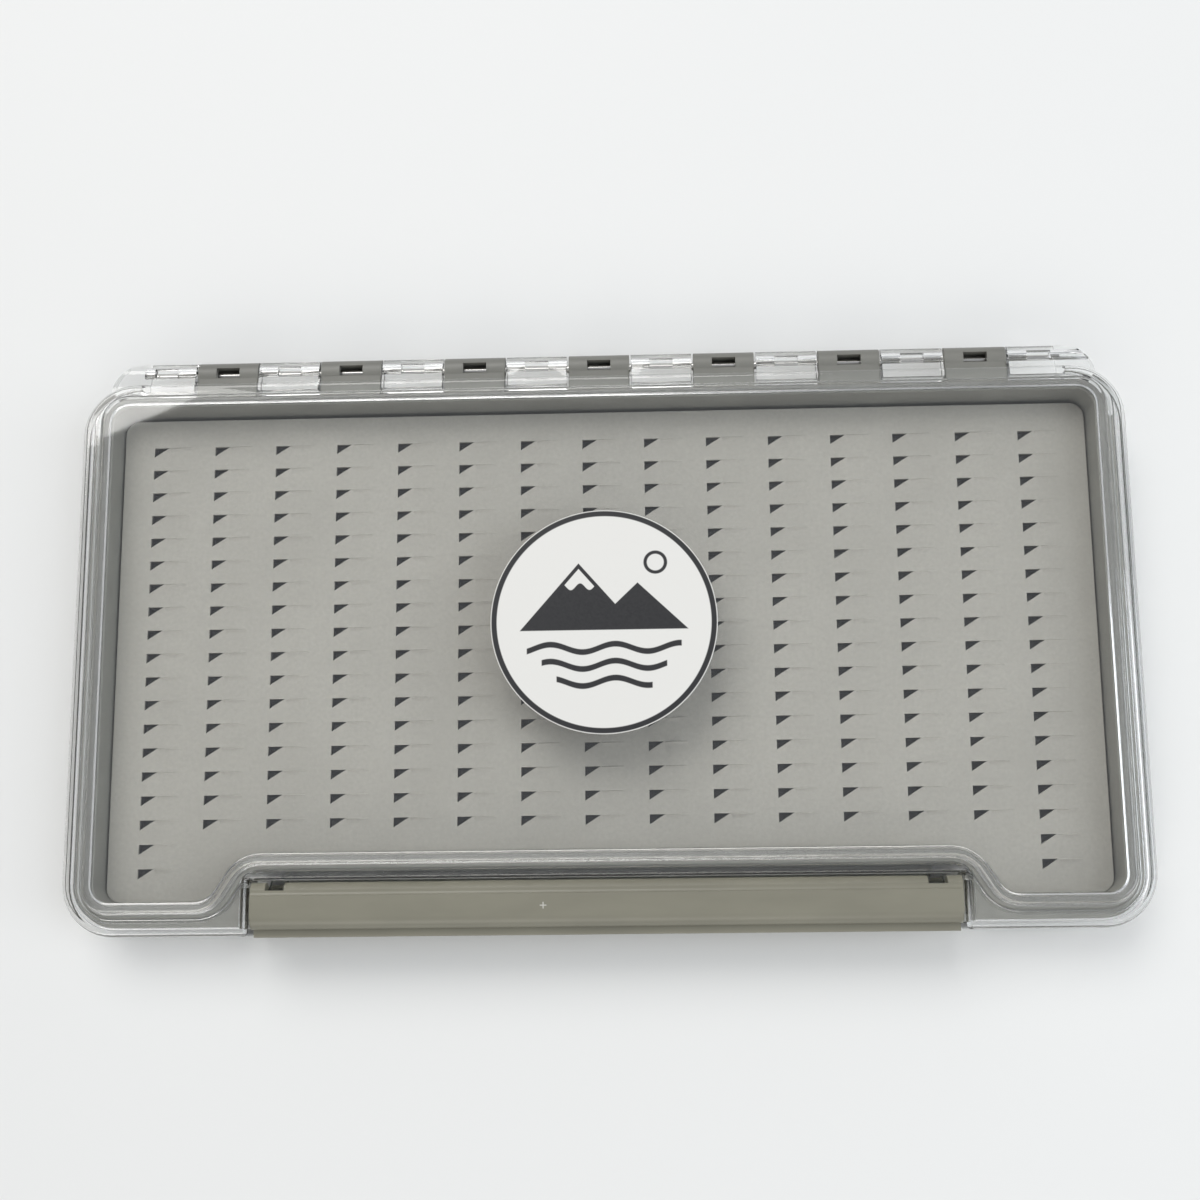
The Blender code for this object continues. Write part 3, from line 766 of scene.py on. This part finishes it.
def build_insert(look):
    """The top skin is triangulated round every slit; each mouth then goes straight down."""
    edge_r = INSERT_EDGE_R
    top, bottom = INSERT_HIGH.z, INSERT_LOW.z
    rim = insert_line(-edge_r)
    flat = [(x, y) for x, y in rim]
    rise = [0.0] * len(flat)
    edges = [(i, (i + 1) % len(flat)) for i in range(len(flat))]
    mouth, lines, skin = slit_shape()
    mouths = []
    for left, upper in slit_corners():
        loop = list(range(len(flat), len(flat) + len(mouth)))
        mouths.append(loop)
        edges += list(zip(loop, loop[1:] + loop[:1]))
        at = loop[-1] + 1
        for line in lines:
            path = [loop[-1]] + list(range(at, at + len(line)))
            edges += list(zip(path, path[1:]))
            at += len(line)
        for x, y, z in mouth + [p for line in lines for p in line] + skin:
            flat.append((left + x, upper + y))
            rise.append(z)
    spots, _, faces, origin, _, _ = delaunay_2d_cdt(
        [Vector(p) for p in flat], edges, [list(range(len(rim)))], 1, 1e-6
    )
    work = bmesh.new()
    source = [from_[0] if from_ else None for from_ in origin]
    made = []
    for spot, index in zip(spots, source):
        z = top + (rise[index] if index is not None else 0.0)
        made.append(work.verts.new((spot.x * MM, spot.y * MM, z * MM)))
    in_mouth = {index: n for n, loop in enumerate(mouths) for index in loop}
    for face in faces:
        holes = {in_mouth.get(source[v], -1 - i) for i, v in enumerate(face)}
        if len(holes) > 1 or min(holes) < 0:
            work.faces.new([made[v] for v in face])
    at = {index: made[n] for n, index in enumerate(source) if index is not None}
    for loop in mouths:
        upper_ring = [at[i] for i in loop]
        lower_ring = [work.verts.new((v.co.x, v.co.y, (top - SLIT_DEPTH) * MM)) for v in upper_ring]
        for i in range(len(loop)):
            work.faces.new((upper_ring[i - 1], upper_ring[i], lower_ring[i], lower_ring[i - 1]))
        work.faces.new(lower_ring)
    ring = [at[i] for i in range(len(rim))]
    for out, z in fillet(-edge_r, top - edge_r, edge_r, 90, -90, 4)[1:] + [(0.0, bottom)]:
        following = [work.verts.new((x * MM, y * MM, z * MM)) for x, y in insert_line(out)]
        for i in range(len(ring)):
            work.faces.new((ring[i - 1], ring[i], following[i], following[i - 1]))
        ring = following
    work.faces.new(ring)
    insert = mesh_from("silicone_insert", work)
    shade(insert, 40)
    return dress(insert, look, "base", "insert_silicone", "slit_insert")


# ---------------------------------------------------------------- the lid


def lid_knuckle_line():
    """The (y, z) outline of a lid knuckle: a barrel on a block under the lid's back edge."""
    barrel = arc(HINGE_Y, HINGE_Z, KNUCKLE_R, -120, KNUCKLE_ARC, KNUCKLE_SIDES)
    front, top = WALL_BACK + LID_BLOCK_OUT, FLANGE_BOTTOM + BITE
    return barrel + [(LID_BACK - LID_BLOCK_IN, top), (front, top), (front, HINGE_Z - KNUCKLE_FOOT_DROP)]


def lid_knuckle(index):
    """One of the lid's knuckles, apart from its two end ones."""
    return bar(f"lid_knuckle_{index}", lid_knuckle_line(), knuckle_range(index), 0.2)


def end_knuckle(side):
    """An end knuckle in one piece with the web that carries it from the lid's rounded back corner."""
    inner = knuckle_range(KNUCKLES - 1)[0]
    reach = sorted((side * inner, side * (WING_START_X + 0.5)))
    knuckle = bar(f"end_knuckle_{side}", lid_knuckle_line(), reach, 0.2)
    front, back = WALL_BACK + LID_BLOCK_OUT, HINGE_Y + KNUCKLE_R
    radius, out = back - front, WING_START_X + CLEAR
    outline = arc(WING_START_X - radius, front, radius, 0, 90, WING_SIDES)
    outline += [(WING_START_X - radius, back + CLEAR), (out, back + CLEAR)]
    outline += [(out, front - CLEAR), (WING_START_X, front - CLEAR)]
    if side < 0:
        outline = [(-x, y) for x, y in reversed(outline)]
    around = loft(f"corner_cut_{side}", lambda _: outline, [(0, 0), (0, WALL_TOP + 3)])
    under_low, under_high = sorted((side * WING_END_X, side * out))
    under_top = HINGE_Z - WING_DROP
    under = box(f"under_cut_{side}", (under_low, front - CLEAR, 0), (under_high, back + CLEAR, under_top))
    return carve(knuckle, cuts=[around, under])


def round_pivot(angle, along, across=0.0):
    """A (y, z) spot along and across a direction, given in degrees from +Y round the latch's pivot."""
    cos, sin = math.cos(math.radians(angle)), math.sin(math.radians(angle))
    return LATCH_Y + along * cos - across * sin, LATCH_Z + along * sin + across * cos


def latch_lug(side):
    """A round lug in front of the bay's skirt, on an arm that slopes down to the skirt."""
    half = math.degrees(math.asin(LUG_ARM / LUG_R))
    end = arc(LATCH_Y, LATCH_Z, LUG_R, LUG_ARM_ANGLE + half, 360 - 2 * half, LUG_SIDES)
    reach = (BAY_Y + SKIRT / 2 - LATCH_Y) / math.cos(math.radians(LUG_ARM_ANGLE))
    root = [round_pivot(LUG_ARM_ANGLE, reach, -LUG_ARM), round_pivot(LUG_ARM_ANGLE, reach, LUG_ARM)]
    return bar(f"latch_lug_{side}", end + root, sorted((side * LUG_X[0], side * LUG_X[1])), 0.15)


def lug_slot():
    """The (y, z) outline of the slot that lets the latch turn past a lug's arm."""
    far, wide = LATCH_BARREL_R + CLEAR, LUG_ARM + GAP
    shut, opened = LUG_ARM_ANGLE, LUG_ARM_ANGLE + LATCH_OPENS
    between = [round_pivot(shut + LATCH_OPENS * third / 3, far) for third in (1, 2)]
    first = [round_pivot(shut, 0, -wide), round_pivot(shut, far, -wide)]
    return first + between + [round_pivot(opened, far, wide), round_pivot(opened, 0, wide)]


def build_lid(look):
    """The lid: a flange and skirt, the raised panel, the gasket's channel, a rib, knuckles and lugs."""
    top_r, edge_r = FLANGE_EDGE_R, EDGE_R
    skirt = fillet(-edge_r, SKIRT_BOTTOM + edge_r, edge_r, -90, 90, 3)
    skirt += fillet(-top_r, FLANGE_TOP - top_r, top_r, 0, 90, 6)
    lid = loft("lid_shell", lid_line, skirt)
    panel_r, root_r = PANEL_EDGE_R, PANEL_ROOT_R
    panel = [(RISER_OUT + root_r, FLANGE_TOP - 0.6)]
    panel += fillet(RISER_OUT + root_r, FLANGE_TOP + root_r, root_r, 270, -90, 4)
    panel += fillet(RISER_OUT - panel_r, PANEL_TOP - panel_r, panel_r, 0, 90, 5)
    raised = loft("panel", wall_line, panel)
    inner_r = HOLLOW_R
    hollow = [(-SKIRT, SKIRT_BOTTOM - CLEAR)]
    hollow += fillet(-SKIRT - inner_r, FLANGE_BOTTOM - inner_r, inner_r, 0, 90, 4)
    skirt_hollow = loft("skirt_hollow", lid_line, hollow)
    under = [(RISER_IN, SKIRT_BOTTOM - CLEAR)]
    under += fillet(RISER_IN - inner_r, PANEL_BOTTOM - inner_r, inner_r, 0, 90, 4)
    panel_hollow = loft("panel_hollow", wall_line, under)
    channel = [(CHANNEL_OUT, SKIRT_BOTTOM - CLEAR)]
    channel += fillet(CHANNEL_OUT - CHANNEL_R, CHANNEL_TOP - CHANNEL_R, CHANNEL_R, 0, 90, 3)
    gasket_channel = loft("channel", wall_line, channel)
    back_half = LID_HIGH.x - LID_CORNER_R
    opening = box(
        "skirt_back_opening",
        (-back_half, HINGE_Y - LID_CORNER_R, SKIRT_BOTTOM - CLEAR),
        (back_half, LID_BACK + CLEAR, FLANGE_BOTTOM),
    )
    carve(lid, [raised], [skirt_hollow])
    rib_r = RIB_R
    rib = [(RIB_IN, FLANGE_BOTTOM + BITE)] + fillet(RIB_IN + rib_r, RIB_BOTTOM + rib_r, rib_r, 180, 90, 3)
    rib += fillet(RIB_OUT - rib_r, RIB_BOTTOM + rib_r, rib_r, -90, 90, 3) + [(RIB_OUT, FLANGE_BOTTOM + BITE)]
    rib = loft("rib", wall_line, rib, ring=True)
    carve(lid, [rib], [opening])
    even = range(0, KNUCKLES, 2)
    added = [lid_knuckle(i) for i in even[1:-1]] + [end_knuckle(s) for s in (-1, 1)]
    added += [latch_lug(s) for s in (-1, 1)]
    lug_bore = rod("lug_bore", LATCH_BORE_R, (-LUG_X[1] - CLEAR, LUG_X[1] + CLEAR), LATCH_Y, LATCH_Z)
    carve(lid, added, [panel_hollow, gasket_channel] + knuckle_cuts("lid", even) + [lug_bore])
    return dress(shade(lid), look, "lid", "lid_clear", "clear_lid")


def build_gasket(look):
    """A soft bead that is pressed unevenly, so its edges wander a little."""
    edge = 0.2
    wide = (GASKET_HIGH.x - WALL_HALF_WIDTH) - edge
    middle, half_wide = edge + wide / 2, wide / 2 - 0.08
    half_high = (GASKET_HIGH.z - GASKET_LOW.z) / 2 - 0.08
    level = (GASKET_HIGH.z + GASKET_LOW.z) / 2
    steps = [(middle + half_wide * c, level + half_high * s) for c, s in arc(0, 0, 1, 0, 330, 11)]
    gasket = loft("gasket_ring", fine_wall_line, steps, ring=True)
    noise.seed_set(BEAD_SEED)
    for vertex in gasket.data.vertices:
        vertex.co += noise.noise_vector(vertex.co * BEAD_WAVES) * BEAD_WANDER * MM
    return dress(shade(gasket, 60), look, "lid", "gasket", "lid_gasket")


def fine_wall_line(out=0.0):
    """The wall's outline with points every few millimetres along its straights."""
    points = wall_line(out)
    fine = []
    for here, there in zip(points, points[1:] + points[:1]):
        pieces = max(1, round((there - here).length / 2.5))
        fine += [here.lerp(there, k / pieces) for k in range(pieces)]
    return fine


def build_sticker(look, centre, radius):
    """A thin vinyl disc laid on the panel, its edge slightly rounded."""

    def disc(out):
        return circle(*centre, radius + out, STICKER_SIDES)

    low = PANEL_TOP + STICKER_LIFT
    high = low + STICKER_THICK
    steps = [(0, low), (0, high - STICKER_EDGE), (-STICKER_EDGE, high)]
    sticker = loft("round_sticker", disc, steps)
    return dress(shade(sticker), look, "lid", "sticker", "lid_sticker")


# ---------------------------------------------------------------- the latch


def build_latch(look):
    """A bent channel with a round back edge, a finger lip, a valley along its top and slots for the lugs."""
    barrel = arc(LATCH_Y, LATCH_Z, LATCH_BARREL_R, -90, 180, LATCH_BARREL_SIDES)
    top = LATCH_Z + LATCH_BARREL_R
    low, lip = LATCH_LOW.z, LATCH_LOW.y
    inner = LATCH_FRONT + LATCH_SHEET
    outside = [
        (LATCH_FRONT, top, LATCH_BROW_R),
        (LATCH_FRONT, low, LATCH_FOOT_R),
        (LATCH_HOOK_TIP, low, LATCH_TIP_R[0]),
        (LATCH_HOOK_TIP, LATCH_HOOK_TOP, LATCH_TIP_R[1]),
        (inner, LATCH_HOOK_TOP, LATCH_HOOK_R),
        (inner, top - LATCH_SHEET, LATCH_INNER_R),
    ]
    ends = [(*barrel[-1], 0.0), *outside, (*barrel[0], 0.0)]
    sides = LATCH_CORNER_SIDES
    profile = [tuple(p) for p in rounded(ends, sides)]
    profile = [profile[0]] + profile[sides + 1 : -sides - 1] + [profile[-1]]
    latch = bar("latch_channel", profile + barrel[1:-1], (LATCH_LOW.x, LATCH_HIGH.x), 0.35)
    back, lip_r = LATCH_FRONT + LATCH_SHEET / 2, LATCH_LIP_R
    strip = [(back, LATCH_LIP_Z[1])] + arc(lip + lip_r, LATCH_LIP_Z[1] - lip_r, lip_r, 90, 90, 5)
    strip += arc(lip + lip_r, LATCH_LIP_Z[0] + lip_r, lip_r, 180, 90, 5) + [(back, LATCH_LIP_Z[0])]
    reach = (LATCH_LOW.x + LATCH_LIP_INSET, LATCH_HIGH.x - LATCH_LIP_INSET)
    finger_lip = bar("finger_lip", strip, reach)
    at, radius, depth = LATCH_VALLEY
    across = (LATCH_LOW.x - CLEAR, LATCH_HIGH.x + CLEAR)
    cuts = [rod("valley", radius, across, at, top - depth + radius)]
    for side in (-1, 1):
        reach = sorted((side * (LUG_X[0] - GAP), side * (LUG_X[1] + GAP)))
        cuts.append(rod(f"lug_pocket_{side}", LUG_R + GAP, reach, LATCH_Y, LATCH_Z))
        cuts.append(bar(f"lug_slot_{side}", lug_slot(), reach))
        inner = min(abs(LATCH_PIN_LOW.x), abs(LATCH_PIN_HIGH.x)) - GAP
        bore = sorted((side * inner, side * (LATCH_HIGH.x + CLEAR)))
        cuts.append(rod(f"latch_bore_{side}", LATCH_BORE_R, bore, LATCH_Y, LATCH_Z))
    carve(latch, [finger_lip], cuts)
    return dress(shade(latch), look, "latch", "latch_grey", "latch_bar")


def build_pins(look):
    """The three wires, with their ends slightly rounded."""
    for node, body, y, z in (
        ("hinge_pin", "base", HINGE_Y, HINGE_Z),
        ("latch_pin_left", "lid", LATCH_Y, LATCH_Z),
        ("latch_pin_right", "lid", LATCH_Y, LATCH_Z),
    ):
        low, high = span(node)
        radius = (high.z - low.z) / 2
        pin = rod(node + "_wire", radius, (low.x, high.x), y, z, radius * 0.25)
        dress(shade(pin), look, body, "pin_steel", node)


# ---------------------------------------------------------------- stage

FLOOR_HALF = 3.0
SKY = (0.93, 0.96, 1.0)
SKY_STRENGTH = 0.45
LAMPS = (                    # name, place, size, power and colour, in metres and watts
    ("key", (-0.32, 0.75, 0.95), (0.9, 0.7), 8.0, (1.0, 0.985, 0.96)),
    ("fill", (0.8, -0.1, 0.7), (0.6, 0.9), 4.7, (0.90, 0.95, 1.0)),
    ("front", (-0.2, -0.9, 0.6), (1.0, 0.5), 3.0, (1.0, 0.96, 0.90)),
)
CAMERA_AT = (0.0108, -0.05385, 0.3244)
CAMERA_TURN = (10.88, 2.13, -0.58)
CAMERA_LENS = 51.0
CAMERA_SENSOR = 36.0
CAMERA_NEAR = 0.01


def build_stage():
    """A plain pale floor."""
    work = bmesh.new()
    bmesh.ops.create_grid(work, x_segments=1, y_segments=1, size=FLOOR_HALF)
    floor = mesh_from("floor", work)
    look = plain("pale_floor", FLOOR_WHITE, 0.6)
    floor.data.materials.append(look.material)


def area_light(name, place, size, power, colour):
    """A soft lamp that faces the box."""
    data = bpy.data.lights.new(name, "AREA")
    data.shape = "RECTANGLE"
    data.size, data.size_y = size
    data.energy = power
    data.color = colour
    lamp = bpy.data.objects.new(name, data)
    lamp.location = place
    lamp.rotation_euler = (-Vector(place)).to_track_quat("-Z", "Y").to_euler()
    bpy.context.scene.collection.objects.link(lamp)


def build_light():
    """An even sky and three soft lamps."""
    world = bpy.data.worlds.new("studio")
    world.use_nodes = True
    sky = world.node_tree.nodes["Background"]
    sky.inputs["Color"].default_value = (*SKY, 1.0)
    sky.inputs["Strength"].default_value = SKY_STRENGTH
    bpy.context.scene.world = world
    for lamp in LAMPS:
        area_light(*lamp)


def build_camera():
    """A phone held over the box, a little in front of its middle."""
    data = bpy.data.cameras.new("camera")
    data.sensor_width = CAMERA_SENSOR
    data.lens = CAMERA_LENS
    data.clip_start = CAMERA_NEAR
    camera = bpy.data.objects.new("camera", data)
    camera.location = CAMERA_AT
    camera.rotation_euler = [math.radians(a) for a in CAMERA_TURN]
    bpy.context.scene.collection.objects.link(camera)
    bpy.context.scene.camera = camera


def main():
    """Build every visible piece, then the stage."""
    tray_look = moulded_plastic("tray_abs", TRAY_GREY, 0.42)
    latch_look = moulded_plastic("latch_abs", LATCH_GREY, 0.36, LATCH_CROSS_AT)
    wire = steel()
    build_tray(tray_look)
    build_insert(silicone())
    build_lid(clear_plastic("clear_polycarbonate", CLEAR_TINT, 0.02))
    build_gasket(seal())
    middle = (STICKER_LOW + STICKER_HIGH) / 2
    radius = (STICKER_HIGH.x - STICKER_LOW.x) / 2
    art = printed_vinyl((middle.x * MM, middle.y * MM), radius * MM)
    build_sticker(art, (middle.x, middle.y), radius)
    build_latch(latch_look)
    build_pins(wire)
    sheet = frame["nodes"]["insert_backing"]
    sheet.data.materials.clear()
    sheet.data.materials.append(backing())
    build_stage()
    build_light()
    build_camera()
    bpy.context.scene.view_settings.view_transform = "Standard"


main()
